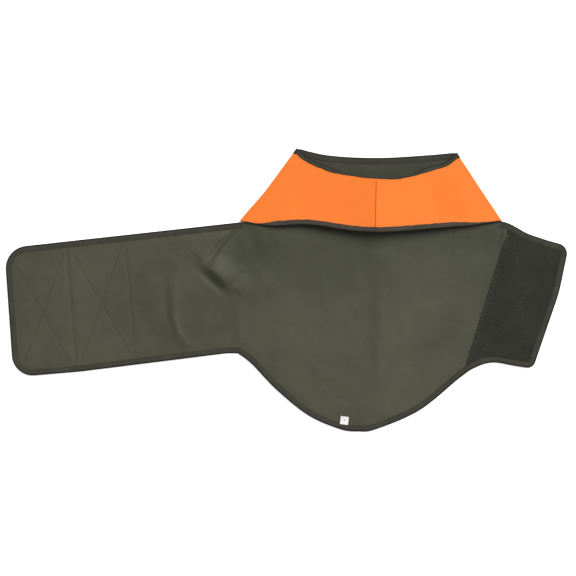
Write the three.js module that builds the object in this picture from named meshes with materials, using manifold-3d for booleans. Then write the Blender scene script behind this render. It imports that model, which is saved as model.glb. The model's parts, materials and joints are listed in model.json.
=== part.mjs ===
// A hunting dog's vest, laid open on a table with its lining up. +X is to the right, +Y is towards the dog's
// neck, +Z is up, and the origin is under the middle of the vest on the table.
//
// The saddle that covers the back, the long belly band and the short closure flap are one padded sheet: an
// outer shell, a thin padding and a lining, with a folded tape bound round their edges. At the neck the sheet
// wraps round and over to the chest, where its two halves are sewn together, so the neck end is a closed tube.
// Every fold of the sheet is a line, and each stretch between two folds is a body of its own.
//
// The sides, the chest and their folds are laid out round one point, the apex, where the shoulder folds meet.
import * as THREE from "three";
import { mergeVertices } from "three/addons/utils/BufferGeometryUtils.js";
import Module from "manifold-3d";

const wasm = await Module();
wasm.setup();

// Driving dimensions, in millimetres and degrees.
const APEX = new THREE.Vector2(150, 408.5);
const SPINE_ANGLE = -1.55; // of the spine line from straight down, to the right
const SHOULDER_ANGLE = 34.75; // between the spine line and each shoulder fold
const SPINE_HALF_ANGLE = 3; // of the strip along the spine that the two sides fold up from
const NECK_RADIUS = 225; // from the apex to where the shoulder folds meet the neck edge
const LEFT_SHOULDER_RADIUS = 372; // from the apex to the lower end of the left shoulder fold
const RIGHT_SHOULDER_RADIUS = 357;
const NECK_BACK_DIP = 12; // of the neck edge below its two ends, at the back
const NECK_CHEST_DIP = 39; // and at the chest, which is cut lower
const CHEST_LIFT_ANGLE = 4.6; // of the chest seam above the table, seen from the apex
const CHEST_HEM_RADIUS = 315.5; // from the apex to the chest's lower edge, on the seam

const BAND_LENGTH = 386;
const BAND_TILT = 6.3; // of the band's upper edge, down to the left
const BAND_END_WIDTH = 208;
const BAND_END_TILT = 4.1;
const BAND_ROOT_WIDTH = 209.5;
const BAND_ROOT_TILT = 2.2;
const BAND_UPPER_CORNER = 36;
const BAND_LOWER_CORNER = 34;
const BAND_BOW = 3; // of the band's lower edge, out of a straight line
const BAND_BOW_RADIUS = 700;
const LOOP_PAD_WIDTH = 92; // across the band's length; the tape is 100 mm wide, with its edges sewn down
const LOOP_PAD_SPACE = 4; // between the two pads, where the band folds

const TAIL_REACH = 636.8; // from the apex down to the lowest point of the tail

// The flap's corners, each measured from the lower end of the right shoulder fold.
const FLAP_ROOT_LOWER = new THREE.Vector2(-13.5, -227.2); // where the tail's edge runs into the flap's
const FLAP_LOWER_END = new THREE.Vector2(51, -237.3);
const FLAP_BOW = new THREE.Vector2(93, -114.8); // where the flap's outer edge is fullest
const FLAP_UPPER_END = new THREE.Vector2(108.5, -40.3);
const FLAP_PAD_CORNER = new THREE.Vector2(10.5, -10.8); // upper end of the hook pad's inner edge
const FLAP_LOWER_CORNER = 13;
const FLAP_UPPER_CORNER = 17;
const FLAP_BOW_RADIUS = 250;
const FLAP_FOLD_TILT = 17.1; // of the flap's fold, its top to the right
const FLAP_FOLD_FROM_PAD = 9;

const TAPE_WIDTH = 10; // of the binding on each face of the sheet
const TAPE = 0.5;
const SHELL = 0.6;
const PADDING = 1.4;
const LINING = 0.4;
const LOOP_PAD = 1.2;
const HOOK_PAD = 1.4;
const GAP = 0.3; // between two pieces that touch
const FOLD_GAP = 0.4; // between two bodies at a fold
const LABEL = { width: 13, length: 13, thick: 0.4 };
const LABEL_FROM_TIP = 24; // along the hem, from the tail's tip to the label's middle
const LABEL_SEAM = 1.5; // of the label's lower edge, over the tape
const EDGE_STEPS = 8; // straight steps in a rounded corner or between two points of a curved edge

// Heights of the layers, from the table up. The loop pads lie under the shell and carry the band.
const Z_TAPE = LOOP_PAD - TAPE;
const Z_SHELL = LOOP_PAD + GAP;
const Z_PADDING = Z_SHELL + SHELL + GAP;
const Z_LINING = Z_PADDING + PADDING + GAP;
const Z_TOP_TAPE = Z_LINING + LINING + GAP;
const Z_TOP = Z_TOP_TAPE + TAPE;
const Z_HOOK = Z_TOP_TAPE;
const Z_FOLD = Z_TOP + GAP / 2; // every fold's axis runs just over the sheet, so its layers open as it folds
const SHEET = Z_TOP - Z_TAPE;
const TAPE_INSET = TAPE + GAP; // from the outer edge of the tape to the edge of the sheet in it

const FAR = 2000; // larger than the vest, for the sides of a cut

const { degToRad } = THREE.MathUtils;
const point = (x, y) => new THREE.Vector2(x, y);
const heading = (degrees) => point(Math.sin(degToRad(degrees)), -Math.cos(degToRad(degrees)));
const fromApex = (radius, degrees) => heading(degrees).multiplyScalar(radius).add(APEX);
const between = (a, b, share) => a.clone().lerp(b, share);

// Points along straight sides whose corners are rounded; each corner is [point, radius].
function roundedSides(corners) {
  const points = [corners[0][0]];
  for (let i = 1; i < corners.length - 1; i++) {
    const [corner, radius] = corners[i];
    const before = corners[i - 1][0].clone().sub(corner).normalize();
    const after = corners[i + 1][0].clone().sub(corner).normalize();
    const half = Math.acos(before.dot(after)) / 2;
    const reach = radius / Math.tan(half);
    const centre = corner.clone().add(before.clone().add(after).setLength(radius / Math.sin(half)));
    const start = corner.clone().add(before.multiplyScalar(reach)).sub(centre);
    const end = corner.clone().add(after.multiplyScalar(reach)).sub(centre);
    const turn = Math.atan2(start.cross(end), start.dot(end));
    for (let k = 0; k <= EDGE_STEPS; k++) {
      points.push(start.clone().rotateAround(point(0, 0), (turn * k) / EDGE_STEPS).add(centre));
    }
  }
  points.push(corners[corners.length - 1][0]);
  return points;
}

// A smooth line through points, with a step count for each of its stretches.
const smooth = (points, steps) => new THREE.SplineCurve(points).getPoints((points.length - 1) * steps);

// A line moved sideways, to its left as it runs, by a distance.
function moved(line, distance) {
  return line.map((p, i) => {
    const before = line[Math.max(i - 1, 0)];
    const after = line[Math.min(i + 1, line.length - 1)];
    const along = after.clone().sub(before).normalize();
    return point(p.x - along.y * distance, p.y + along.x * distance);
  });
}

// The hem of the whole sheet, from the left shoulder round the band, the tail and the flap to the right one.
const leftFold = SPINE_ANGLE - SHOULDER_ANGLE;
const rightFold = SPINE_ANGLE + SHOULDER_ANGLE;
const leftShoulder = fromApex(LEFT_SHOULDER_RADIUS, leftFold);
const rightShoulder = fromApex(RIGHT_SHOULDER_RADIUS, rightFold);
const leftNeck = fromApex(NECK_RADIUS, leftFold);
const rightNeck = fromApex(NECK_RADIUS, rightFold);
const bandUpper = leftShoulder.clone().add(heading(BAND_TILT - 90).multiplyScalar(BAND_LENGTH));
const bandLower = bandUpper.clone().add(heading(BAND_END_TILT).multiplyScalar(BAND_END_WIDTH));
const bandRoot = leftShoulder.clone().add(heading(-BAND_ROOT_TILT).multiplyScalar(BAND_ROOT_WIDTH));
const fromShoulder = (offset) => offset.clone().add(rightShoulder);
const flapRootLower = fromShoulder(FLAP_ROOT_LOWER);
const flapLowerEnd = fromShoulder(FLAP_LOWER_END);
const flapUpperEnd = fromShoulder(FLAP_UPPER_END);
const tailSpan = flapRootLower.x - bandRoot.x;
const tailDepth = bandRoot.y - APEX.y + TAIL_REACH;

// Shares of the tail's span and depth, from the band's root to the flap's.
const TAIL_SHAPE = [
  [0, 0.015], [0.055, 0.151], [0.149, 0.467], [0.275, 0.795], [0.4, 0.971],
  [0.471, 1], [0.542, 0.971], [0.714, 0.731], [0.871, 0.322], [0.934, 0.19],
];
const tailAt = ([across, down]) => point(bandRoot.x + across * tailSpan, bandRoot.y - down * tailDepth);
const tail = TAIL_SHAPE.map(tailAt);
const tipIndex = TAIL_SHAPE.findIndex(([, down]) => down === 1);

const bandLowerBow = between(bandLower, bandRoot, 0.3).add(point(0, -BAND_BOW));
const upperSide = roundedSides([
  [leftShoulder, 0], [bandUpper, BAND_UPPER_CORNER], [bandLower, BAND_LOWER_CORNER],
  [bandLowerBow, BAND_BOW_RADIUS], [between(bandLower, bandRoot, 0.95), 0],
]);
const tailSide = smooth([...tail, flapRootLower, between(flapRootLower, flapLowerEnd, 0.5)], 3);
const flapTopAt = (share, out) => between(flapUpperEnd, rightShoulder, share).add(point(0, out));
const flapSide = roundedSides([
  [between(flapRootLower, flapLowerEnd, 0.55), 0], [flapLowerEnd, FLAP_LOWER_CORNER],
  [fromShoulder(FLAP_BOW), FLAP_BOW_RADIUS], [flapUpperEnd, FLAP_UPPER_CORNER], [flapTopAt(0.3, -3), 0],
]);
const flapTop = smooth([
  flapTopAt(0.4, -3.5), flapTopAt(0.62, -4), flapTopAt(0.78, -0.6), flapTopAt(0.9, 1), rightShoulder,
], 3);
const hem = [...upperSide, ...tailSide, ...flapSide, ...flapTop];

// The neck's edges, from right to left as the hem runs on: the back's, and the lower one of the chest.
function neckEdge(dip, shares) {
  const dipped = shares.map(([along, down]) => between(rightNeck, leftNeck, along).add(point(0, -down * dip)));
  return smooth([rightNeck, ...dipped, leftNeck], 4);
}
const backNeck = neckEdge(NECK_BACK_DIP, [[0.2, 0.5], [0.5, 1], [0.8, 0.85]]);
const chestNeck = neckEdge(NECK_CHEST_DIP, [
  [0.07, 0.46], [0.2, 0.83], [0.35, 1.05], [0.5, 1], [0.8, 0.76], [0.93, 0.4],
]);

// The chest's lower edge, from left to right. It rises a little over each foreleg.
const seamFoot = fromApex(CHEST_HEM_RADIUS, SPINE_ANGLE);
const hemAt = (end, share, up) => between(end, seamFoot, share).add(point(0, up));
const chestHem = smooth([
  leftShoulder, hemAt(leftShoulder, 0.22, -1), hemAt(leftShoulder, 0.5, 5), hemAt(leftShoulder, 0.8, 0.5),
  seamFoot, hemAt(rightShoulder, 0.75, -1.2), hemAt(rightShoulder, 0.3, -0.5), rightShoulder,
], 4);

// The folds, each a line with its upper end first, from left to right.
const line = (through, tilt) => ({ through, along: heading(180 - tilt) });
const bandFold = (along) => line(
  leftShoulder.clone().add(heading(BAND_TILT - 90).multiplyScalar(along)), -BAND_END_TILT - 0.7,
);
const tipFoldAt = BAND_LENGTH - LOOP_PAD_WIDTH - LOOP_PAD_SPACE / 2 - TAPE_INSET;
const padEdgeAt = tipFoldAt - LOOP_PAD_SPACE / 2 - LOOP_PAD_WIDTH;
const FOLD = {
  tip: bandFold(tipFoldAt),
  mid: bandFold(padEdgeAt - LOOP_PAD_SPACE),
  root: line(leftShoulder, BAND_ROOT_TILT),
  left: { through: APEX, along: heading(SPINE_ANGLE - SPINE_HALF_ANGLE).negate() },
  right: { through: APEX, along: heading(SPINE_ANGLE + SPINE_HALF_ANGLE).negate() },
  flap: line(fromShoulder(FLAP_PAD_CORNER).add(point(-FLAP_FOLD_FROM_PAD, 0)), FLAP_FOLD_TILT),
};

// A closed solid from a flat outline that runs anticlockwise, from height z up. Where the outline of a narrow
// strip crosses itself in a tight corner, the small loop that it makes there is left out.
function slab(outline, z, height) {
  const shape = new wasm.CrossSection([outline.map((corner) => [corner.x, corner.y])], "Positive");
  return shape.extrude(height).translate([0, 0, z]);
}

function solid(geometry) {
  const bare = geometry.index ? geometry.toNonIndexed() : geometry;
  bare.deleteAttribute("normal");
  bare.deleteAttribute("uv");
  const merged = mergeVertices(bare, 1e-3);
  const vertProperties = merged.attributes.position.array;
  const triVerts = new Uint32Array(merged.index.array);
  return new wasm.Manifold(new wasm.Mesh({ numProp: 3, vertProperties, triVerts }));
}

// All that lies on one side of a fold, from a gap past it on: side is 1 for its right and -1 for its left.
function sideOf(fold, side, gap = FOLD_GAP / 2) {
  const across = point(fold.along.y, -fold.along.x).multiplyScalar(side);
  const near = fold.through.clone().add(across.clone().multiplyScalar(gap));
  const low = near.clone().addScaledVector(fold.along, -FAR);
  const high = near.clone().addScaledVector(fold.along, FAR);
  const away = (corner) => corner.clone().addScaledVector(across, FAR);
  const corners = [low, high, away(high), away(low)];
  return slab(side > 0 ? corners.reverse() : corners, -FAR / 4, FAR / 2);
}

const rightOf = (fold, gap) => sideOf(fold, 1, gap);
const leftOf = (fold, gap) => sideOf(fold, -1, gap);

// A strip of the sheet beside an edge line, as wide as from one distance to another.
function strip(edge, from, to, z, height) {
  return slab([...moved(edge, from), ...moved(edge, to).reverse()], z, height);
}

// A line with a straight piece added at each of its ends.
function lengthened(edge, by) {
  const beyond = (end, next) => end.clone().add(end.clone().sub(next).setLength(by));
  const last = edge.length - 1;
  return [beyond(edge[0], edge[1]), ...edge, beyond(edge[last], edge[last - 1])];
}

// The folded tape over an edge: a strip with a slot in it for the edge of the sheet, open at both its ends.
function tapeOver(edge, z = Z_TAPE) {
  const whole = strip(edge, 0, TAPE_WIDTH, z, SHEET);
  const slot = strip(lengthened(edge, TAPE_WIDTH), TAPE, 2 * TAPE_WIDTH, z + TAPE, SHEET - 2 * TAPE);
  return whole.subtract(slot);
}

const inset = moved(hem, TAPE_INSET);
const sheetOutline = [...inset, ...moved(backNeck, TAPE_INSET)];
const padOutline = [...moved(hem, TAPE_WIDTH + GAP), ...moved(backNeck, TAPE_WIDTH + GAP)];
const hemTape = tapeOver(hem);
const neckTape = tapeOver(backNeck);

const MATERIAL = {
  orange: new THREE.MeshStandardMaterial({ color: 0xff8533, roughness: 0.75, metalness: 0 }),
  olive: new THREE.MeshStandardMaterial({ color: 0x535546, roughness: 0.5, metalness: 0 }),
  padding: new THREE.MeshStandardMaterial({ color: 0xd8d6cf, roughness: 0.95, metalness: 0 }),
  tape: new THREE.MeshStandardMaterial({ color: 0x45453c, roughness: 0.8, metalness: 0 }),
  hook: new THREE.MeshStandardMaterial({ color: 0x373630, roughness: 0.9, metalness: 0 }),
  loop: new THREE.MeshStandardMaterial({ color: 0x3d3e35, roughness: 1, metalness: 0 }),
  label: new THREE.MeshStandardMaterial({ color: 0xf4f3ee, roughness: 0.7, metalness: 0 }),
};

const vest = new THREE.Group();

function add(name, body, material, parent = vest) {
  const made = body.getMesh();
  const geometry = new THREE.BufferGeometry();
  geometry.setAttribute("position", new THREE.BufferAttribute(made.vertProperties, 3));
  geometry.setIndex(new THREE.BufferAttribute(made.triVerts, 1));
  const mesh = new THREE.Mesh(geometry, MATERIAL[material]);
  mesh.name = name;
  parent.add(mesh);
  return mesh;
}

// The pieces of a cut tape, upper first.
function fromTop(body) {
  const middle = (piece) => (piece.boundingBox().min[1] + piece.boundingBox().max[1]) / 2;
  return body.decompose().sort((a, b) => middle(b) - middle(a));
}

// One body's share of the sheet's three layers.
function addLayers(name, within) {
  const layers = [
    ["shell", Z_SHELL, SHELL, "orange"],
    ["padding", Z_PADDING, PADDING, "padding"],
    ["lining", Z_LINING, LINING, "olive"],
  ];
  for (const [layer, z, height, material] of layers) {
    add(`${name}_${layer}`, slab(sheetOutline, z, height).intersect(within), material);
  }
}

const REGION = {
  spine: rightOf(FOLD.left).intersect(leftOf(FOLD.right)),
  left_side: rightOf(FOLD.root).intersect(leftOf(FOLD.left)),
  right_side: rightOf(FOLD.right).intersect(leftOf(FOLD.flap)),
  band_root: rightOf(FOLD.mid).intersect(leftOf(FOLD.root)),
  band_middle: rightOf(FOLD.tip).intersect(leftOf(FOLD.mid)),
  band_end: leftOf(FOLD.tip),
  closure_flap: rightOf(FOLD.flap),
};
for (const [name, region] of Object.entries(REGION)) addLayers(name, region);

// The back's share of the neck tape stops at the shoulder folds, where the sheet turns over to the chest.
const shoulders = {
  left: { through: APEX, along: heading(leftFold).negate() },
  right: { through: APEX, along: heading(rightFold).negate() },
};
const betweenShoulders = rightOf(shoulders.left, TAPE_INSET).intersect(leftOf(shoulders.right, TAPE_INSET));
for (const name of ["spine", "left_side", "right_side"]) {
  add(`${name}_neck_tape`, neckTape.intersect(betweenShoulders).intersect(REGION[name]), "tape");
}
for (const name of ["spine", "left_side", "right_side"]) {
  const pieces = fromTop(hemTape.intersect(REGION[name]));
  add(`${name}_hem_tape`, pieces[pieces.length - 1], "tape");
}
for (const name of ["band_root", "band_middle"]) {
  const pieces = fromTop(hemTape.intersect(REGION[name]));
  add(`${name}_front_tape`, pieces[0], "tape");
  add(`${name}_rear_tape`, pieces[pieces.length - 1], "tape");
}
add("band_end_tape", hemTape.intersect(REGION.band_end), "tape");
add("closure_flap_tape", hemTape.intersect(REGION.closure_flap), "tape");

// Hook and loop pads. The loops are outside, under the shell, and the hooks inside, on the lining.
const padZone = (z, height) => slab(padOutline, z, height);
add("loop_pad_end", padZone(0, LOOP_PAD).intersect(leftOf(FOLD.tip, LOOP_PAD_SPACE / 2)), "loop");
const middlePad = rightOf(FOLD.tip, LOOP_PAD_SPACE / 2).intersect(leftOf(FOLD.mid, LOOP_PAD_SPACE));
add("loop_pad_middle", padZone(0, LOOP_PAD).intersect(middlePad), "loop");
const hookEdge = FLAP_FOLD_FROM_PAD * Math.cos(degToRad(FLAP_FOLD_TILT));
add("hook_pad", padZone(Z_HOOK, HOOK_PAD).intersect(rightOf(FOLD.flap, hookEdge)), "hook");

// The chest: each half is laid out flat beside its shoulder fold, and lifted about it until their edges meet.
const liftCos = Math.cos(degToRad(CHEST_LIFT_ANGLE)) * Math.cos(degToRad(SHOULDER_ANGLE));
const chestAngle = THREE.MathUtils.radToDeg(Math.acos(liftCos));
const foldLift = Math.asin(Math.sin(degToRad(CHEST_LIFT_ANGLE)) / Math.sin(degToRad(chestAngle)));
const Z_CHEST = Z_TOP + GAP; // the height of the chest's tape over the table, at the shoulder folds
const chestOutline = [...moved(chestHem, TAPE_INSET), ...moved(chestNeck, TAPE_INSET)];
const chestTapes = { hem: tapeOver(chestHem, Z_CHEST), neck: tapeOver(chestNeck, Z_CHEST) };

function addChestHalf(name, fold, side) {
  const seam = { through: APEX, along: heading(fold + side * chestAngle).negate() };
  const inside = side > 0
    ? rightOf(shoulders[name], TAPE_INSET).intersect(leftOf(seam))
    : leftOf(shoulders[name], TAPE_INSET).intersect(rightOf(seam));
  const axis = new THREE.Vector3(shoulders[name].along.x, shoulders[name].along.y, 0);
  const hinge = new THREE.Group();
  hinge.position.set(APEX.x, APEX.y, Z_FOLD);
  hinge.quaternion.setFromAxisAngle(axis, -side * foldLift);
  vest.add(hinge);
  const flat = new THREE.Group();
  flat.position.set(-APEX.x, -APEX.y, -Z_FOLD);
  hinge.add(flat);
  const rise = Z_CHEST - Z_TAPE;
  const layers = [
    ["lining", Z_SHELL, LINING, "olive"],
    ["padding", Z_SHELL + LINING + GAP, PADDING, "padding"],
    ["shell", Z_SHELL + LINING + PADDING + 2 * GAP, SHELL, "orange"],
  ];
  for (const [layer, z, height, material] of layers) {
    add(`chest_${name}_${layer}`, slab(chestOutline, z + rise, height).intersect(inside), material, flat);
  }
  for (const [edge, tape] of Object.entries(chestTapes)) {
    add(`chest_${name}_${edge}_tape`, tape.intersect(inside), "tape", flat);
  }
}
addChestHalf("left", leftFold, 1);
addChestHalf("right", rightFold, -1);

// The size label, sewn to the hem tape by its lower edge, to the left of the tail's tip.
const hemRun = tail[tipIndex].clone().sub(tail[tipIndex - 1]).normalize();
const inward = point(-hemRun.y, hemRun.x);
const labelMiddle = tail[tipIndex].clone().addScaledVector(hemRun, -LABEL_FROM_TIP);
labelMiddle.addScaledVector(inward, TAPE_WIDTH - LABEL_SEAM + LABEL.length / 2);
const labelShape = solid(new THREE.BoxGeometry(LABEL.width, LABEL.length, LABEL.thick));
const label = add("size_label", labelShape, "label");
label.position.set(labelMiddle.x, labelMiddle.y, Z_TOP + GAP + LABEL.thick / 2);
label.rotation.z = hemRun.angle();

// Bring the origin under the middle of the whole vest.
const whole = new THREE.Box3().setFromObject(vest, true);
vest.position.set(-(whole.min.x + whole.max.x) / 2, -(whole.min.y + whole.max.y) / 2, -whole.min.z);

export default vest;
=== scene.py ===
# The dog's vest, laid open with its lining up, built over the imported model. Lengths are in millimetres until
# a mesh is made, and then in metres. The outlines repeat those of the CAD part, in the same frame.
import json
import math

import bpy
import numpy as np
from mathutils import Matrix, Vector
from mathutils.geometry import delaunay_2d_cdt
from mathutils.kdtree import KDTree


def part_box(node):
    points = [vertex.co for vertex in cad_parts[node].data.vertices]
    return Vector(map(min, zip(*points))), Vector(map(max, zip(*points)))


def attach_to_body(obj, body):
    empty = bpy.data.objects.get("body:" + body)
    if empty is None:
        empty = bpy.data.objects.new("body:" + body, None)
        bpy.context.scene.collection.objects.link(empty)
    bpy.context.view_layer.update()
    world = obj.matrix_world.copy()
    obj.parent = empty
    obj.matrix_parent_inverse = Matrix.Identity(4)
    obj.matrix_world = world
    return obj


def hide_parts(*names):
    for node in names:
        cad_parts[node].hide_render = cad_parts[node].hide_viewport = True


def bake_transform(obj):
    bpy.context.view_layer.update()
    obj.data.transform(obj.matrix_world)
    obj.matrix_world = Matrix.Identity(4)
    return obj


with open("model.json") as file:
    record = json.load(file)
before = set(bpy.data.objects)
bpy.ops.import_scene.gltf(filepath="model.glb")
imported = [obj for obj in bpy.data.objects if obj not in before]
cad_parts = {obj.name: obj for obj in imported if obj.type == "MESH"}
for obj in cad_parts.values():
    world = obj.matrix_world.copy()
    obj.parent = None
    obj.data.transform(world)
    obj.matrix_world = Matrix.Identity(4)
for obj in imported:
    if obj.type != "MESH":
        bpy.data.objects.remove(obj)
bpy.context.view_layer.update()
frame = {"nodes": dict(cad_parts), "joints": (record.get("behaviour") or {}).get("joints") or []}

MM = 0.001

# ---------------------------------------------------------------- sizes, as in the CAD part

joint = {j["name"]: j for j in frame["joints"]}
APEX = np.array(joint["left_side_fold"]["pos_m"][:2]) * 1000
Z_FOLD = joint["left_side_fold"]["pos_m"][2] * 1000
LABEL_ROOT = np.array(joint["label_fold"]["pos_m"][:2]) * 1000
APEX_DRAWN = np.array([150.0, 408.5])  # in the drawing's own coordinates, which at() turns into the part's
SHIFT = APEX - APEX_DRAWN
SPINE_ANGLE, SHOULDER_ANGLE = -1.55, 34.75
NECK_RADIUS, LEFT_RADIUS, RIGHT_RADIUS = 225.0, 372.0, 357.0
LIFT_ANGLE, HEM_RADIUS = 4.6, 315.5
BAND_LENGTH, BAND_SLOPE = 386, 6.3
BAND_WIDTH, BAND_END_SLOPE = 208, 4.1
BAND_ROOT_WIDTH, BAND_ROOT_SLOPE = 209.5, -2.2
TAIL_REACH = 636.8  # from the apex
FLAP_CORNERS = [(-13.5, -227.2), (51, -237.3), (93, -114.8), (108.5, -40.3)]  # from the right shoulder
TAPE_W, TAPE_T = 10.0, 0.5
SHELL_Z, SHELL_T = 1.5, 0.6
PAD_Z, PAD_T = 2.4, 1.4
LINING_Z, LINING_T = 4.1, 0.4
TAPE_Z0, TAPE_Z1 = 0.7, 5.3
STITCH_Z0, STITCH_Z1 = 0.78, 5.18  # where the stitches come out of a binding's two faces
RISE = 4.9  # of the chest's layers over the sheet's, at the shoulder folds
WRAP = 5.0  # how far in from the shoulder folds the turned-over part of the sheet begins
INSET = 0.8


def heading(deg):
    return np.array([math.sin(math.radians(deg)), -math.cos(math.radians(deg))])


def at(x, y):
    return np.array([x, y], float) + SHIFT


def unit(v):
    return v / np.linalg.norm(v)


def between(a, b, share, up=0.0):
    return a + (b - a) * share + np.array([0.0, up])


def rotated(v, angle):
    c, s = math.cos(angle), math.sin(angle)
    return np.array([v[0] * c - v[1] * s, v[0] * s + v[1] * c])


def rounded(corners, steps=12):
    """A line through corners, each a point and the radius that rounds it."""
    pts = [corners[0][0]]
    for (a, _), (c, r), (b, _) in zip(corners, corners[1:], corners[2:]):
        u, v = unit(a - c), unit(b - c)
        half = math.acos(float(u @ v)) / 2
        centre = c + unit(u + v) * r / math.sin(half)
        s, e = c + u * r / math.tan(half) - centre, c + v * r / math.tan(half) - centre
        turn = math.atan2(s[0] * e[1] - s[1] * e[0], float(s @ e))
        for k in range(steps + 1):
            pts.append(centre + rotated(s, turn * k / steps))
    return pts + [corners[-1][0]]


def smooth(points, steps=10):
    """A Catmull-Rom curve through the points."""
    p, out, n = points, [], len(points)
    for i in range(n - 1):
        p0, p1, p2, p3 = p[max(i - 1, 0)], p[i], p[i + 1], p[min(i + 2, n - 1)]
        for k in range(steps):
            w = k / steps
            v0, v1 = (p2 - p0) / 2, (p3 - p1) / 2
            cubic = 2 * p1 - 2 * p2 + v0 + v1
            square = -3 * p1 + 3 * p2 - 2 * v0 - v1
            out.append(cubic * w**3 + square * w**2 + v0 * w + p1)
    return out + [p[-1]]


def spaced(line, step):
    """The same line with points an even distance apart."""
    p = np.array(line, float)
    seg = np.linalg.norm(np.diff(p, axis=0), axis=1)
    keep = np.concatenate([[True], seg > 1e-6])
    p = p[keep]
    s = np.concatenate([[0], np.cumsum(np.linalg.norm(np.diff(p, axis=0), axis=1))])
    t = np.linspace(0, s[-1], max(2, int(round(s[-1] / step)) + 1))
    return np.stack([np.interp(t, s, p[:, k]) for k in range(p.shape[1])], 1)


def tangents(p):
    t = np.gradient(p, axis=0)
    return t / np.linalg.norm(t, axis=1)[:, None]


def sideways(line):
    """The unit vectors to a line's left, one for each of its points."""
    t = tangents(line)
    return np.stack([-t[:, 1], t[:, 0]], 1)


def moved(line, d):
    p = np.array(line, float)
    return p + sideways(p) * d


def ease(t):
    """From 0 to 1 with no sudden start or stop."""
    t = np.clip(t, 0, 1)
    return t * t * (3 - 2 * t)


def meet(p, d, q, e):
    k = np.linalg.solve(np.stack([d, -e], 1), q - p)
    return p + d * k[0]


LEFT_FOLD, RIGHT_FOLD = SPINE_ANGLE - SHOULDER_ANGLE, SPINE_ANGLE + SHOULDER_ANGLE
left_shoulder = APEX + heading(LEFT_FOLD) * LEFT_RADIUS
right_shoulder = APEX + heading(RIGHT_FOLD) * RIGHT_RADIUS
left_neck = APEX + heading(LEFT_FOLD) * NECK_RADIUS
right_neck = APEX + heading(RIGHT_FOLD) * NECK_RADIUS
band_upper = left_shoulder + heading(BAND_SLOPE - 90) * BAND_LENGTH
band_lower = band_upper + heading(BAND_END_SLOPE) * BAND_WIDTH
band_root = left_shoulder + heading(BAND_ROOT_SLOPE) * BAND_ROOT_WIDTH
flap_root, flap_lower, flap_bow, flap_upper = (right_shoulder + np.array(v) for v in FLAP_CORNERS)
tail_low = APEX[1] - TAIL_REACH
# Along the tail from the band to the flap, and down it, both as shares.
TAIL_SHAPE = [
    (0, 0.015), (0.055, 0.151), (0.149, 0.467), (0.275, 0.795), (0.4, 0.971),
    (0.471, 1), (0.542, 0.971), (0.714, 0.731), (0.871, 0.322), (0.934, 0.19),
]
tail = [
    np.array([band_root[0] + a * (flap_root[0] - band_root[0]), band_root[1] - d * (band_root[1] - tail_low)])
    for a, d in TAIL_SHAPE
]
hem = rounded([
    (left_shoulder, 0), (band_upper, 36), (band_lower, 34),
    (between(band_lower, band_root, 0.3, -3), 700), (between(band_lower, band_root, 0.95), 0),
])
hem += smooth([*tail, flap_root, between(flap_root, flap_lower, 0.5)])
hem += rounded([
    (between(flap_root, flap_lower, 0.55), 0), (flap_lower, 13), (flap_bow, 250), (flap_upper, 17),
    (between(flap_upper, right_shoulder, 0.3, -3), 0),
])
SHOULDER_TOP = [(0.4, -3.5), (0.62, -4), (0.78, -0.6), (0.9, 1)]
hem += smooth([*(between(flap_upper, right_shoulder, *p) for p in SHOULDER_TOP), right_shoulder])
hem = spaced(hem, 2.0)


def neck_edge(dip, shares):
    return spaced(smooth([
        right_neck, *[between(right_neck, left_neck, a, -d * dip) for a, d in shares], left_neck,
    ]), 2.0)


back_neck = neck_edge(12, [(0.2, 0.5), (0.5, 1), (0.8, 0.85)])
# The chest's own edges hang a little lower as cloth than the part's flat ones.
chest_neck = neck_edge(1, [(0.07, 16), (0.2, 28), (0.35, 45), (0.5, 47), (0.65, 43), (0.8, 30), (0.93, 15.6)])
seam_foot = APEX + heading(SPINE_ANGLE) * HEM_RADIUS
LEFT_HEM, RIGHT_HEM = [(0.22, -1), (0.5, 5), (0.8, 0.5)], [(0.75, -1.2), (0.3, -0.5)]
chest_hem = [left_shoulder, *(between(left_shoulder, seam_foot, *p) for p in LEFT_HEM), seam_foot]
chest_hem += [*(between(right_shoulder, seam_foot, *p) for p in RIGHT_HEM), right_shoulder]
chest_hem = spaced(smooth(chest_hem), 2.0)
SAG, SAG_ENDS = 3.4, 0.12  # how far the hem sags, and the share of it over which that begins and ends
along = np.linspace(0, 1, len(chest_hem))
sag = SAG * np.clip(along / SAG_ENDS, 0, 1) * np.clip((1 - along) / SAG_ENDS, 0, 1)
chest_hem = chest_hem - sideways(chest_hem) * sag[:, None]


# Folds of the sheet: a point and the direction of its upper end, straight from the joints.
def fold_of(name):
    j = joint[name]
    d = unit(np.array(j["axis"][:2]))
    return np.array(j["pos_m"][:2]) * 1000, d if d[1] > 0 else -d


FOLD = {k: fold_of(n) for k, n in {
    "tip": "band_end_fold", "mid": "band_middle_fold", "root": "band_root_fold",
    "left": "left_side_fold", "right": "right_side_fold", "flap": "flap_fold",
}.items()}


def side(fold, sign, gap=0.0):
    """A half-plane: the right of a fold (sign 1) or its left (-1), from gap past it on."""
    p, d = fold
    across = np.array([d[1], -d[0]]) * sign
    return p + across * gap, across


def clip_polygon(poly, planes):
    for p, n in planes:
        h = [(q, float((q - p) @ n)) for q in poly]
        out = []
        for (a, ha), (b, hb) in zip(h, h[1:] + h[:1]):
            if ha >= 0:
                out.append(a)
            if (ha >= 0) != (hb >= 0):
                out.append(a + (b - a) * ha / (ha - hb))
        poly = out
    return np.array(poly)


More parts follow.
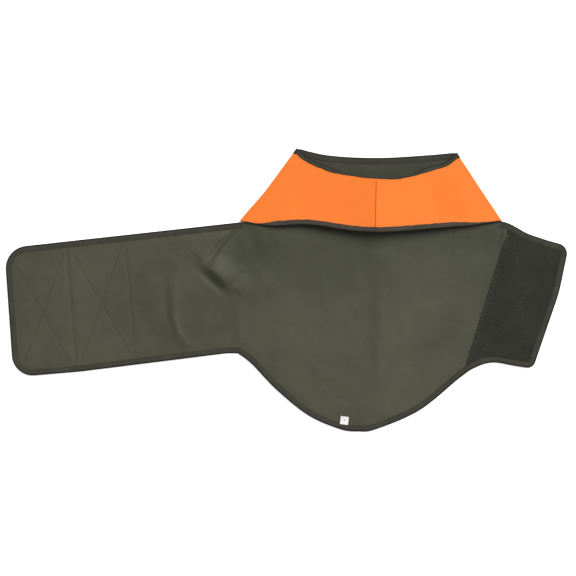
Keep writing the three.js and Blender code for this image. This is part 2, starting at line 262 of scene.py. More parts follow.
def clip_line(line, planes):
    """The stretches of an open line that lie inside the half-planes."""
    parts = [[np.array(q) for q in line]]
    for p, n in planes:
        kept = []
        for part in parts:
            now = []
            for a, b in zip(part, part[1:]):
                ha, hb = float((a[:2] - p) @ n), float((b[:2] - p) @ n)
                if ha >= 0 and not now:
                    now = [a]
                if (ha >= 0) != (hb >= 0):
                    c = a + (b - a) * ha / (ha - hb)
                    if hb >= 0:
                        now = [c]
                    else:
                        kept.append(now + [c])
                        now = []
                if hb >= 0:
                    now.append(b)
            if len(now) > 1:
                kept.append(now)
        parts = kept
    return [np.array(k) for k in parts if len(k) > 1]


# ---------------------------------------------------------------- the lie of the cloth

def waves(x, y, length, seed, count=6):
    r = np.random.default_rng(seed)
    total = np.zeros_like(x)
    for _ in range(count):
        a, ph, k = r.uniform(0, 2 * math.pi), r.uniform(0, 2 * math.pi), r.uniform(0.7, 1.4)
        total += np.sin((x * math.cos(a) + y * math.sin(a)) * 2 * math.pi * k / length + ph)
    return total / count


def bump(x, y, cx, cy, rx, ry, turn=0.0):
    c, s = math.cos(math.radians(turn)), math.sin(math.radians(turn))
    u, v = (x - cx) * c + (y - cy) * s, -(x - cx) * s + (y - cy) * c
    return np.exp(-((u / rx) ** 2) - (v / ry) ** 2)


def ridge(x, y, points, width, lean=0.0):
    """1 along a line of points, fading to each side over width and at its ends; lean steepens one side."""
    best, along = np.full_like(x, 1e9), np.zeros_like(x)
    signed = np.zeros_like(x)
    total = sum(np.linalg.norm(np.subtract(b, a)) for a, b in zip(points, points[1:]))
    run = 0.0
    for a, b in zip(points, points[1:]):
        a, b = at(*a), at(*b)
        d = b - a
        length = np.linalg.norm(d)
        t = np.clip(((x - a[0]) * d[0] + (y - a[1]) * d[1]) / length**2, 0, 1)
        ex, ey = x - a[0] - t * d[0], y - a[1] - t * d[1]
        dist = np.hypot(ex, ey)
        near = dist < best
        best = np.where(near, dist, best)
        along = np.where(near, run + t * length, along)
        signed = np.where(near, np.sign(d[0] * ey - d[1] * ex), signed)
        run += length
    w = width * (1 + lean * signed)
    fade = np.sin(math.pi * np.clip(along / total, 0.04, 0.96)) ** 0.6
    return np.exp(-((best / w) ** 2)) * fade


def lift(x, y):
    """How far the whole sheet stands off the table."""
    z = 0.9 + 0.9 * waves(x, y, 210, 3) + 0.35 * waves(x, y, 95, 4)
    z += 0.8 * bump(x, y, *at(-64, 34), 30, 34, -30)
    z += 1.2 * bump(x, y, *at(152, -60), 17, 110, -2)
    z += 4.4 * bump(x, y, *at(20, 88), 80, 30, -3)
    # The sheet lies flat by the label, so that the label turns up about its own sewn end.
    return np.maximum(z, 0.0) * (1 - bump(x, y, *LABEL_ROOT, 26, 26))


def lifted(z):
    """A height that follows the sheet."""
    return lambda x, y: lift(x, y) + z


def flat_at(z):
    return lambda x, y: np.full_like(x, z)


RUCKS = [
    # points along the wrinkle, height, half width, lean
    ([(-72, 106), (-90, 90), (-108, 68), (-120, 50), (-124, 38)], -4.6, 5.4, -0.3),
    ([(-84, 104), (-102, 84), (-116, 66)], 1.6, 6.0, 0.0),
    ([(-66, 98), (-52, 78), (-50, 58), (-60, 44)], -1.2, 11.0, 0.0),
    ([(-132, 44), (-116, 31), (-100, 17), (-88, 5)], 11.0, 15.0, 0.36),
    ([(-142, 34), (-126, 18), (-108, 2), (-98, -5)], -2.4, 6.0, 0.0),
    ([(-178, 4), (-182, -38), (-176, -66), (-160, -88)], 2.6, 9.0, -0.4),
    ([(-196, 24), (-193, -14), (-190, -46), (-178, -84)], -1.6, 7.0, 0.0),
    ([(-70, 28), (-70, 8), (-76, -8)], 1.6, 9.0, -0.2),
    ([(-74, -28), (-76, -58), (-74, -84)], 1.8, 9.0, -0.2),
    ([(-214, 40), (-222, 0), (-216, -50)], 0.9, 12.0, 0.0),
    ([(-20, 96), (20, 88), (60, 82)], -1.5, 22.0, 0.0),
    ([(60, -146), (76, -164), (98, -180)], -1.4, 7.0, 0.3),
    ([(40, -120), (58, -140), (72, -150)], 0.9, 9.0, 0.2),
    ([(359, 106), (352, 92), (343, 70)], 2.2, 4.5, 0.3),
    ([(300, 40), (292, 0), (276, -60)], 0.9, 14.0, 0.0),
    ([(152, 40), (150, -40), (148, -120), (150, -160)], 1.1, 9.0, -0.2),
]


def ruck(x, y):
    """Small wrinkles of the lining alone, over its padding."""
    z = 0.2 + 0.2 * waves(x, y, 38, 11) * (0.6 + 0.4 * waves(x, y, 160, 12)) + 0.5 * waves(x, y, 74, 13)
    z = z + 2.8 * bump(x, y, *at(-125, 10), 95, 90) + 1.6 * bump(x, y, *at(40, 40), 130, 90)
    z = z + 2.8 * bump(x, y, *at(-108, 74), 40, 38)
    for points, high, width, lean in RUCKS:
        z = z + high * ridge(x, y, points, width, lean)
    return z * edge_ease(x, y)


def nearest_tree(points):
    tree = KDTree(len(points))
    for i, p in enumerate(points):
        tree.insert((p[0], p[1], 0), i)
    tree.balance()
    return tree


edge_tree = nearest_tree(np.concatenate([hem, back_neck]))
EASE_FROM, EASE_OVER = 8, 14  # in from the edge


def edge_ease(x, y):
    """0 under the binding, and 1 a little way in from it."""
    d = np.array([edge_tree.find((a, b, 0))[2] for a, b in zip(x, y)])
    return ease((d - EASE_FROM) / EASE_OVER)


# ---------------------------------------------------------------- meshes

def fill(poly, step):
    """A polygon filled with an even net of small triangles: points and faces."""
    edge = []
    for a, b in zip(poly, np.roll(poly, -1, 0)):
        n = max(1, int(round(np.linalg.norm(b - a) / step)))
        if np.linalg.norm(b - a) > 1e-4:
            edge += [a + (b - a) * k / n for k in range(n)]
    edge = np.array(edge)
    lo, hi = edge.min(0), edge.max(0)
    ys = np.arange(lo[1] + step * 0.5, hi[1], step * 0.87)
    pts = []
    for r, y in enumerate(ys):
        xs = np.arange(lo[0] + step * (0.3 + 0.5 * (r % 2)), hi[0], step)
        if not len(xs):
            continue
        a, b = edge, np.roll(edge, -1, 0)
        cross = (a[:, 1] > y) != (b[:, 1] > y)
        if not cross.any():
            continue
        share = (y - a[cross, 1]) / (b[cross, 1] - a[cross, 1])
        xc = np.sort(a[cross, 0] + share * (b[cross, 0] - a[cross, 0]))
        inside = np.searchsorted(xc, xs) % 2 == 1
        pts += [(x, y) for x in xs[inside]]
    pts = np.array(pts).reshape(-1, 2)
    if len(pts):
        tree = nearest_tree(edge)
        pts = pts[[tree.find((p[0], p[1], 0))[2] > step * 0.55 for p in pts]]
    every = np.concatenate([edge, pts.reshape(-1, 2)])
    n = len(edge)
    edges = [(i, (i + 1) % n) for i in range(n)]
    vs, _, faces, *_ = delaunay_2d_cdt([Vector(p) for p in every], edges, [], 1, 1e-4)
    vs = np.array([(v.x, v.y) for v in vs])
    out = []
    for f in faces:
        a, b, c = vs[f[0]], vs[f[1]], vs[f[2]]
        area = (b[0] - a[0]) * (c[1] - a[1]) - (b[1] - a[1]) * (c[0] - a[0])
        if abs(area) > 1e-9:
            out.append(tuple(f) if area > 0 else tuple(reversed(f)))
    return vs, out


def make(name, verts, faces, material, uv=None, sharp=None):
    mesh = bpy.data.meshes.new(name)
    mesh.from_pydata([tuple(v) for v in np.asarray(verts, float) * MM], [], faces)
    mesh.validate()
    if uv is not None:
        layer = mesh.uv_layers.new(name="UVMap")
        idx = np.zeros(len(mesh.loops), np.int32)
        mesh.loops.foreach_get("vertex_index", idx)
        layer.data.foreach_set("uv", (np.asarray(uv, float)[idx] * MM).astype(np.float32).ravel())
    mesh.materials.append(material)
    mesh.polygons.foreach_set("use_smooth", [True] * len(mesh.polygons))
    if sharp:
        mesh.set_sharp_from_angle(angle=math.radians(sharp))
    mesh.update()
    obj = bpy.data.objects.new(name, mesh)
    bpy.context.scene.collection.objects.link(obj)
    return obj


def layer(name, poly, low, thick, material, step, place=None):
    """A closed sheet over a polygon: low(x, y) is the height of its under face; place moves it afterwards."""
    vs, faces = fill(poly, step)
    z = low(vs[:, 0], vs[:, 1])
    n = len(vs)
    top = np.column_stack([vs, z + thick])
    bottom = np.column_stack([vs, z])
    verts = np.concatenate([top, bottom])
    edges = dict.fromkeys(pair for f in faces for pair in zip(f, f[1:] + f[:1]))
    rim = [(a, b) for a, b in edges if (b, a) not in edges]
    every = list(faces) + [tuple(i + n for i in reversed(f)) for f in faces]
    every += [(b, a, a + n, b + n) for a, b in rim]
    if place is not None:
        verts = place(verts)
    return make(name, verts, every, material, np.concatenate([vs, vs]), sharp=50)


def tape_profile(z0, z1, width=TAPE_W, t=TAPE_T):
    """Round a folded tape's section: (distance in from the edge, height)."""
    mid, waist = (z0 + z1) / 2, width * 0.42
    outer = [
        (width, z1 - 0.15), (width - 0.8, z1 - 0.02), (width - 1.9, z1 - 0.12), (width - 3.4, z1 + 0.12),
        (waist, z1 + 0.2), (2.1, z1 + 0.08), (0.95, z1 - 0.28), (0.25, z1 - 0.95), (0, mid),
        (0.25, z0 + 0.95), (0.95, z0 + 0.28), (2.1, z0), (waist, z0), (width - 3.4, z0),
        (width - 1.9, z0 + 0.1), (width - 0.8, z0), (width, z0 + 0.1),
    ]
    inner = [
        (width, z0 + t), (2.3, z0 + t), (1.2, z0 + t + 0.3), (TAPE_T, mid),
        (1.2, z1 - t - 0.3), (2.3, z1 - t), (width, z1 - t - 0.1),
    ]
    return np.array(outer + inner)


def sweep(name, line, profile, raise_by, material, place=None, pucker=0.12, seed=1, widths=None):
    """A tape along an edge line, with the sheet on the line's left."""
    n = sideways(line)
    s = np.concatenate([[0], np.cumsum(np.linalg.norm(np.diff(line, axis=0), axis=1))])
    m = len(profile)
    girth = np.concatenate([[0], np.cumsum(np.linalg.norm(np.diff(profile, axis=0), axis=1))])
    r = np.random.default_rng(seed)
    ph = r.uniform(0, 6.28, 4)
    wave = np.sin(s / 7.3 * 2 * math.pi / 2 + ph[0]) * np.sin(s / 31 + ph[1]) + 0.6 * np.sin(s / 4.1 + ph[2])
    verts, uv = [], []
    for i, p in enumerate(line):
        d, z = profile[:, 0], profile[:, 1]
        upper = z > (z.min() + z.max()) / 2
        inward = d * (1 + 0.03 * wave[i] * (d > 5)) * (1 if widths is None else widths(s[i] / s[-1]))
        xy = p[None, :] + inward[:, None] * n[i][None, :]
        zz = z + raise_by(xy[:, 0], xy[:, 1]) + pucker * wave[i] * (upper & (d > 1))
        verts.append(np.column_stack([xy, zz]))
        uv.append(np.column_stack([np.full(m, s[i]), girth]))
    verts, uv = np.concatenate(verts), np.concatenate(uv)
    faces = []
    for i in range(len(line) - 1):
        for k in range(m):
            a, b = i * m + k, i * m + (k + 1) % m
            faces.append((b, a, a + m, b + m))
    faces.append(tuple(range(m)))
    faces.append(tuple(reversed(range((len(line) - 1) * m, len(line) * m))))
    if place is not None:
        verts = place(verts)
    return make(name, verts, faces, material, uv, sharp=45)


def stitches(line, height, up, pitch=3.0, size=(2.1, 0.42, 0.26), skew=0.0):
    """Verts and faces for stitches along a line; height(x, y) is the surface, and up is 1 or -1."""
    p = spaced(line, pitch / 2)
    t = tangents(p)
    verts, faces = [], []
    l, w, h = size[0] / 2, size[1] / 2, size[2]
    shape = [
        (-l, 0, -0.12), (-l * 0.7, -w, 0), (-l * 0.7, w, 0), (-l * 0.4, 0, h),
        (l * 0.4, 0, h), (l * 0.7, -w, 0), (l * 0.7, w, 0), (l, 0, -0.12),
    ]
    quads = [
        (0, 1, 3), (0, 3, 2), (1, 5, 4, 3), (2, 3, 4, 6), (5, 7, 4), (4, 7, 6), (0, 2, 6, 7), (0, 7, 5, 1),
    ]
    for i in range(1, len(p), 2):
        z = float(height(p[i : i + 1, 0], p[i : i + 1, 1])[0])
        c, s = t[i]
        base = len(verts)
        for x, y, q in shape:
            y2 = y + skew * x
            verts.append((p[i, 0] + x * c - y2 * s, p[i, 1] + x * s + y2 * c, z + q * up))
        faces += [tuple(base + k for k in (f if up > 0 else f[::-1])) for f in quads]
    return verts, faces


class Threads:
    """Rows of stitches gathered into one piece."""

    def __init__(self):
        self.verts, self.faces = [], []

    def add(self, line, height, up, **kw):
        if len(line) < 2:
            return
        v, f = stitches(line, height, up, **kw)
        base = len(self.verts)
        self.verts += v
        self.faces += [tuple(base + k for k in q) for q in f]

    def make(self, name, material, place=None):
        if not self.verts:
            return None
        v = np.array(self.verts)
        v = place(v) if place is not None else v
        return make(name, v, self.faces, material, v[:, :2])


# ---------------------------------------------------------------- materials

def srgb(r, g, b):
    """A screen colour, 0 to 255, as the renderer's own."""
    shares = (c / 255 for c in (r, g, b))
    return tuple((c / 12.92 if c <= 0.04 else ((c + 0.055) / 1.055) ** 2.4) for c in shares) + (1.0,)


GLOW = 1.3  # the light that falls on the vest, as a share of what a white surface needs to look white
SKY = 0.44  # the part of it that comes from all round


def tint(r, g, b):
    """The colour that shows as this one in the studio's light."""
    return tuple(c / GLOW for c in srgb(r, g, b)[:3]) + (1.0,)


BANDS_PER_METRE = 3.183  # of the wave texture at scale 1


def cloth(
    name, dark, light, rough, period, depth, sheen=0.0, mottle=60.0, fuzz=0.0, diagonal=False, spec=0.5,
    wrinkle=0.0, edge=None, shade=None, painted_shade_spot=None,
):
    """A woven cloth: threads across and along, an uneven tone, a bump, and painted shade where asked. Periods
    are in millimetres.
    """
    m = bpy.data.materials.new(name)
    m.use_nodes = True
    nt = m.node_tree
    nt.nodes.clear()

    def node(kind, inputs=None, **settings):
        """A node with its own settings; each of its inputs is given a value or the socket to join to it."""
        made = nt.nodes.new(kind)
        for key, value in settings.items():
            setattr(made, key, value)
        for key, value in (inputs or {}).items():
            if isinstance(value, bpy.types.NodeSocket):
                nt.links.new(value, made.inputs[key])
            else:
                made.inputs[key].default_value = value
        return made

    def times(colour, by):
        mixed = node("ShaderNodeMix", {0: 1.0, 6: colour, 7: by}, data_type="RGBA", blend_type="MULTIPLY")
        return mixed.outputs[2]

    uv = node("ShaderNodeTexCoord").outputs["UV"]
    turn = node("ShaderNodeMapping", {"Vector": uv, "Rotation": (0, 0, math.radians(45 if diagonal else 4))})
    threads = [
        node(
            "ShaderNodeTexWave",
            {
                "Vector": turn.outputs["Vector"], "Scale": 1000 / period / BANDS_PER_METRE, "Distortion": 0.6,
                "Detail": 1.0, "Detail Scale": 0.4,
            },
            wave_type="BANDS", bands_direction=axis, wave_profile="SIN",
        ).outputs["Fac"]
        for axis in ("X", "Y")
    ]
    weave = node("ShaderNodeMath", dict(enumerate(threads)), operation="MULTIPLY").outputs[0]
    uneven = {"Vector": uv, "Scale": 1000 / mottle, "Detail": 5.0, "Roughness": 0.55}
    tone = node("ShaderNodeTexNoise", uneven)
    fine = node("ShaderNodeTexNoise", {"Vector": uv, "Scale": 1000 / (period * 1.3), "Detail": 3.0})
    mix = node("ShaderNodeMath", {0: weave, 1: 0.35, 2: tone.outputs["Fac"]}, operation="MULTIPLY_ADD")
    ramp = node("ShaderNodeValToRGB", {"Fac": mix.outputs[0]})
    for stop, place, shown in zip(ramp.color_ramp.elements, (0.3, 0.85), (dark, light)):
        stop.position, stop.color = place, shown
    colour = ramp.outputs["Color"]
    if shade:
        # Painted shade along the sheet, darker up towards the neck and under the chest: tones, each at a
        # distance up it.
        (first, from_tone), (last, to_tone) = shade[0], shade[-1]
        up = node("ShaderNodeSeparateXYZ", {"Vector": uv})
        ends = {f"From {k}": (y + SHIFT[1]) * MM for k, y in (("Min", first), ("Max", last))}
        place = node("ShaderNodeMapRange", {"Value": up.outputs["Y"], **ends})
        tones = node("ShaderNodeValToRGB", {"Fac": place.outputs["Result"]})
        stops = tones.color_ramp.elements
        stops[0].color = (*[from_tone] * 3, 1)
        stops[-1].color = (*[to_tone] * 3, 1)
        for y, least in shade[1:-1]:
            stops.new((y - first) / (last - first)).color = (*[least] * 3, 1)
        colour = times(colour, tones.outputs["Color"])
    if painted_shade_spot:
        # Painted shade: a darker place in the sheet, where the chest's hem shades it: its middle, its reach
        # and the tone there.
        px, py, reach, least = painted_shade_spot
        spot = ((px + SHIFT[0]) * MM, (py + SHIFT[1]) * MM, 0)
        away = node("ShaderNodeVectorMath", {0: uv, 1: spot}, operation="DISTANCE")
        fade = node(
            "ShaderNodeMapRange", {"Value": away.outputs["Value"], "From Max": reach * MM, "To Min": least},
            interpolation_type="SMOOTHSTEP",
        )
        colour = times(colour, fade.outputs["Result"])
    if edge:
        # Painted shade: a dark line along a tape's rounded outer fold, where it turns from the light: its
        # place round the section, its half width and its tone.
        middle, half, least = edge
        part = node("ShaderNodeSeparateXYZ", {"Vector": uv})
        off = node("ShaderNodeMath", {0: part.outputs["Y"], 1: middle * MM}, operation="SUBTRACT")
        far = node("ShaderNodeMath", {0: off.outputs[0]}, operation="ABSOLUTE")
        near = node(
            "ShaderNodeMapRange",
            {
                "Value": far.outputs[0], "From Min": half * MM, "From Max": (half + 2.2) * MM,
                "To Min": least, "To Max": 1.0,
            },
            interpolation_type="SMOOTHSTEP",
        )
        colour = times(colour, near.outputs["Result"])
    pile = {0: fine.outputs["Fac"], 1: 0.5 + fuzz, 2: weave}
    height = node("ShaderNodeMath", pile, operation="MULTIPLY_ADD")
    bumps = {"Strength": depth, "Distance": period * MM * 0.5, "Height": height.outputs[0]}
    if wrinkle:
        soft = node(
            "ShaderNodeTexNoise",
            {"Vector": uv, "Scale": 1000 / 42, "Detail": 4.0, "Roughness": 0.5, "Distortion": 0.4},
        )
        broad = {"Strength": 1.0, "Distance": wrinkle * MM, "Height": soft.outputs["Fac"]}
        bumps["Normal"] = node("ShaderNodeBump", broad).outputs["Normal"]
    surface = {
        "Base Color": colour, "Normal": node("ShaderNodeBump", bumps).outputs["Normal"],
        "Roughness": rough, "Specular IOR Level": spec,
    }
    if sheen:
        surface.update({"Sheen Weight": sheen, "Sheen Roughness": 0.4})
    shader = node("ShaderNodeBsdfPrincipled", surface)
    node("ShaderNodeOutputMaterial", {"Surface": shader.outputs["BSDF"]})
    return m


FOLD_AT = 11.4  # round a tape's section, from its inner edge on the upper face to the fold
ORANGE = cloth(
    "blaze_orange_shell", tint(252, 126, 48), tint(255, 137, 58), 0.75, 0.9, 0.22, mottle=90, spec=0.12
)
OLIVE = cloth(
    "olive_satin_lining", tint(65, 66, 52), tint(84, 85, 69), 0.55, 0.5, 0.08,
    # painted shade: a darker spot on the lining under the left part of the chest's hem
    mottle=140, diagonal=True, spec=0.15, wrinkle=1.4, painted_shade_spot=(-62, 58, 56, 0.7),
    # painted shade: the lining darker up towards the neck and under the chest, lighter lower down
    shade=[(-240, 1.06), (-60, 1.0), (60, 0.94), (104, 0.86), (124, 0.76), (160, 0.72)],
)
# Its edge setting paints shade along the tape's rounded outer fold.
TAPE = cloth(
    "binding_tape", tint(56, 56, 47), tint(74, 73, 63), 0.8, 0.8, 0.45,
    mottle=30, spec=0.15, edge=(FOLD_AT, 2.5, 0.22),
)
# Its edge setting paints a lighter shade along the tape's rounded outer fold.
CHEST_TAPE = cloth(
    "chest_binding_tape", tint(62, 59, 51), tint(80, 75, 67), 0.8, 0.8, 0.45,
    mottle=30, spec=0.15, edge=(FOLD_AT, 1.4, 0.4),
)
# The binding tape where it turns round the shoulder folds: the same tape, painted darker as shade of its turn.
SHADED_WRAP_TAPE = cloth(
    "turned_binding_tape_painted_shade", tint(46, 46, 39), tint(62, 61, 52), 0.8, 0.8, 0.45, mottle=30, spec=0.15
)
FOAM = cloth("padding_foam", tint(205, 202, 194), tint(224, 222, 214), 0.95, 1.4, 0.5, mottle=20)
HOOK = cloth("hook_tape", tint(48, 49, 43), tint(59, 60, 53), 0.95, 1.7, 0.55, mottle=45, fuzz=0.5, spec=0.08)
LOOP = cloth(
    "loop_tape", tint(50, 51, 43), tint(70, 71, 60), 1.0, 1.1, 1.0, sheen=0.4, mottle=12, fuzz=0.9, spec=0.15
)
THREAD = cloth("dark_thread", tint(38, 38, 32), tint(54, 54, 46), 0.7, 0.3, 0.3, mottle=8, spec=0.15)
# The band's sewn lines: real dark thread, painted darker than the thread elsewhere as shade of the groove it
# lies in.
GROOVE_SHADED_THREAD = cloth("thread_painted_groove_shade", tint(24, 24, 19), tint(34, 34, 28), 0.8, 0.3, 0.3, mottle=8, spec=0.1)
PALE_THREAD = cloth("pale_thread", tint(92, 88, 74), tint(146, 138, 118), 0.7, 0.3, 0.3, mottle=8)
SEAM_THREAD = cloth("seam_thread", tint(196, 92, 34), tint(214, 104, 42), 0.8, 0.3, 0.3, mottle=8, spec=0.1)
LABEL = cloth("white_label", tint(238, 237, 232), tint(254, 253, 249), 0.7, 0.5, 0.3, mottle=15)
MARK = cloth("label_mark", tint(120, 120, 118), tint(150, 150, 148), 0.8, 0.5, 0.2, mottle=15)

# ---------------------------------------------------------------- zones

# A zone is a stretch of sheet that rides one body, or lies over one fold and is baked in place. HALF is half a
# fold's width.
HALF = {"tip": 5.2, "mid": 6.0, "root": 12.0, "left": 9.0, "right": 9.0, "flap": 7.0}
ORDER = ["tip", "mid", "root", "left", "right", "flap"]
BODIES = ["band_end", "band_middle", "band_root", "left_side", "spine", "right_side", "closure_flap"]

zones = []
for i, body in enumerate(BODIES):
    planes = []
    if i:
        planes.append(side(FOLD[ORDER[i - 1]], 1, HALF[ORDER[i - 1]]))
    if i < len(ORDER):
        planes.append(side(FOLD[ORDER[i]], -1, HALF[ORDER[i]]))
    zones.append((body, planes, None, FOLD[ORDER[min(i, 5)]][1]))
    if i < len(ORDER):
        f = ORDER[i]
        planes = [side(FOLD[f], 1, -HALF[f]), side(FOLD[f], -1, -HALF[f])]
        a, b = side(FOLD[f], -1, HALF[f])[0], side(FOLD[f], 1, HALF[f])[0]
        zones.append((f"{f}_fold", planes, (body, BODIES[i + 1], a, b), FOLD[f][1]))


def attach(obj, zone):
    name, _, bend, _ = zone
    if bend:
        a, b, start, end = bend
        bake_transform(obj)
    else:
        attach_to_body(obj, name)


def flat_size(poly, d):
    n = np.array([d[1], -d[0]])
    u, v = poly @ n, poly @ d
    x, y = poly[:, 0], poly[:, 1]
    area = abs(float(np.sum(x * np.roll(y, -1) - y * np.roll(x, -1)))) / 2
    w, l = max(np.ptp(u) * MM, 0.01), max(np.ptp(v) * MM, 0.01)
    return (w, l), min(area * MM * MM, w * l)


# The whole sheet's edge: its hem, the two lines where it turns over at the shoulders, and the neck.
lf, rf = (APEX, -heading(LEFT_FOLD)), (APEX, -heading(RIGHT_FOLD))
l_in, _ = side(lf, 1, WRAP)
r_in, _ = side(rf, -1, WRAP)
in_hem, in_neck = moved(hem, INSET), moved(back_neck, INSET)


def corner(line_point, line_dir, edge, first):
    a, b = (edge[0], edge[6]) if first else (edge[-1], edge[-7])
    return meet(line_point, line_dir, a, b - a)


corners4 = [
    corner(l_in, lf[1], in_hem, True), corner(r_in, rf[1], in_hem, False),
    corner(r_in, rf[1], in_neck, True), corner(l_in, lf[1], in_neck, False),
]


def trimmed(line, planes):
    out = clip_line(line, planes)
    return max(out, key=len) if out else np.zeros((0, 2))


sheet_poly = np.concatenate([
    [corners4[0]], in_hem[2:-2], [corners4[1]],
    [corners4[2]], trimmed(in_neck, [side(rf, -1, WRAP + 0.3), side(lf, 1, WRAP + 0.3)]), [corners4[3]],
])

# The pads fill the sheet inside its binding, and the sewn lines show through the band's lining over its pads.
PAD_OUTLINE = np.concatenate([moved(hem, TAPE_W + 0.3), moved(back_neck, TAPE_W + 0.3)])


def crop(points, planes):
    return clip_line(spaced([at(*p) for p in points], 3.0), planes)


BAND_LINES = [
    [(-439, 46), (-344, -122)], [(-357, 60), (-419, -114)],
    [(-343, 57), (-249, -104)], [(-263, 75), (-330, -116)],
]
DOUBLE_LINES = [
    [(-353.2, 65.5), (-338.6, -120)], [(-350.2, 65.2), (-335.4, -119.6)],
    [(-258.5, 75), (-241.8, -107.6)],
]


def groove(x, y):
    """How far the sewn lines pull the lining down."""
    z = np.zeros_like(x)
    for points in BAND_LINES + DOUBLE_LINES:
        z = z + 0.35 * ridge(x, y, points, 2.4)
    return np.minimum(z, 0.8)


def puff(x, y):
    """The lining stands a little proud between sewn lines on the band."""
    return 0.5 * bump(x, y, *at(-395, -35), 42, 70) + 0.5 * bump(x, y, *at(-300, -25), 42, 70)


def lining_low(x, y):
    return LINING_Z + lift(x, y) + np.maximum(ruck(x, y) + puff(x, y) * edge_ease(x, y) - groove(x, y), -0.2)


WRINKLED = ("left_side", "band_root", "root_fold")
FINE, FINEST, COARSE = 2.6, 1.9, 6.0  # the sizes of the sheets' triangles
PRESSED = 0.5  # how much thinner the padding is in a fold
STITCH_IN = 1.7  # from a binding's inner edge to its stitches

for zone in zones:
    name, planes, bend, direction = zone
    poly = clip_polygon(list(sheet_poly), planes)
    flat, area = flat_size(poly, direction)
    lining = layer(f"lining_{name}", poly, lining_low, LINING_T, OLIVE, FINEST if name in WRINKLED else FINE)
    # In a fold every layer is as finely divided as the lining, so that none comes through another.
    step = FINE if bend else COARSE
    thinner = PRESSED if bend else 0.0
    shell = layer(f"shell_{name}", poly, lifted(SHELL_Z), SHELL_T, ORANGE, step)
    foam = layer(f"padding_{name}", poly, lifted(PAD_Z + thinner * 0.3), PAD_T - thinner, FOAM, step)
    tapes, threads, sunk = [], Threads(), Threads()
    for edge_name, edge, seed in (("hem", hem, 21), ("neck", back_neck, 22)):
        fences = planes if edge_name == "hem" else planes + [side(rf, -1, WRAP), side(lf, 1, WRAP)]
        for k, part in enumerate(clip_line(edge, fences)):
            part = spaced(part, 2.0)
            if len(part) < 3:
                part = spaced(part, 0.9)
            section = tape_profile(TAPE_Z0, TAPE_Z1)
            tapes.append(sweep(f"tape_{name}_{edge_name}_{k}", part, section, lift, TAPE, seed=seed + k))
            row = moved(part, TAPE_W - STITCH_IN)
            threads.add(row, lifted(STITCH_Z1), 1)
            threads.add(row, lifted(STITCH_Z0), -1)
    if name in ("band_end", "band_middle", "tip_fold", "mid_fold"):
        for points in BAND_LINES + DOUBLE_LINES:
            for part in crop(points, planes):
                sunk.add(part, lambda x, y: lining_low(x, y) + LINING_T, 1, size=(2.5, 0.7, 0.16))
    thread = threads.make(f"stitches_{name}", THREAD)
    sewn = sunk.make(f"pad_stitches_{name}", GROOVE_SHADED_THREAD)
    seams = [t for t in (thread, sewn) if t]
    for obj in [lining, shell, foam, *tapes, *seams]:
        attach(obj, zone)
    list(tapes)
    if not bend:
        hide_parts(f"{name}_lining")
        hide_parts(f"{name}_shell")
        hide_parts(f"{name}_padding")
        for tape in tapes:
            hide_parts(*[n for n in frame["nodes"] if n.startswith(name) and n.endswith("tape")])

# ---------------------------------------------------------------- pads

HOOK_FROM_FOLD = 9 * math.cos(math.radians(17.1))
HOOK_T, LOOP_T = 1.4, 1.2
hook_start, hook_inward = side(FOLD["flap"], 1, HOOK_FROM_FOLD)
hook_planes = [(hook_start, hook_inward)]
pad_poly = clip_polygon(list(PAD_OUTLINE), hook_planes)


def hook_low(x, y):
    return LINING_Z + LINING_T + 0.15 + lift(x, y) + 0.25 * waves(x, y, 26, 31)


def hook_top(x, y):
    return hook_low(x, y) + HOOK_T + 0.02


hook = layer("hook_pad_face", pad_poly, hook_low, HOOK_T, HOOK, 3.0)
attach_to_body(hook, "closure_flap")
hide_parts("hook_pad")

hook_rows = Threads()
lowest, highest = pad_poly[:, 1].min() + 5, pad_poly[:, 1].max() - 4
for inward, pitch in ((2.2, 5.2), (5.4, 9.4)):
    p, d = hook_start + hook_inward * inward, FOLD["flap"][1]
    row = [q for q in spaced([p - d * 260, p + d * 60], 3.0) if lowest < q[1] < highest]
    hook_rows.add(np.array(row), hook_top, 1, pitch=pitch, size=(1.5, 0.7, 0.28), skew=0.35)
CROSS = [
    [(365.6, 78.4), (371.5, 27), (376.9, -21.7), (382, -66), (387.2, -108)],
    [(432.6, 53.1), (403, 14), (373.4, -25.3), (339, -68), (305.1, -110.8)],
]
for points in CROSS:
    hook_rows.add(spaced([at(*p) for p in points], 3.0), hook_top, 1, pitch=8.0, size=(1.8, 0.45, 0.18))
hook_stitch = hook_rows.make("hook_pad_stitches", PALE_THREAD)
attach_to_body(hook_stitch, "closure_flap")
hook_edge = Threads()
hook_edge.add(moved(clip_line(moved(hem, TAPE_W + 0.3), hook_planes)[0], 2.0), hook_top, 1)
hook_rim = hook_edge.make("hook_pad_edge_stitches", THREAD)
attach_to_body(hook_rim, "closure_flap")

for pad, body, planes in [
    ("loop_pad_end", "band_end", [side(FOLD["tip"], -1, 2.0)]),
    ("loop_pad_middle", "band_middle", [side(FOLD["tip"], 1, 2.0), side(FOLD["mid"], -1, 4.0)]),
]:
    poly = clip_polygon(list(PAD_OUTLINE), planes)
    obj = layer(f"{pad}_face", poly, lifted(0.02), LOOP_T, LOOP, 4.0)
    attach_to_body(obj, body)
    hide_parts(pad)
    rows = Threads()
    for points in BAND_LINES:
        for part in crop(points, planes):
            rows.add(part[1:-1], lifted(0.05), -1)
    loop = np.concatenate([poly, poly[:1]])
    rows.add(moved(spaced(loop, 3.0), 2.4), lifted(0.05), -1)
    stitch = rows.make(f"{pad}_stitches", THREAD)
    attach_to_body(stitch, body)

# ---------------------------------------------------------------- chest

lift_cos = math.cos(math.radians(LIFT_ANGLE)) * math.cos(math.radians(SHOULDER_ANGLE))
CHEST_ANGLE = math.degrees(math.acos(lift_cos))
FOLD_LIFT = math.asin(math.sin(math.radians(LIFT_ANGLE)) / math.sin(math.radians(CHEST_ANGLE)))


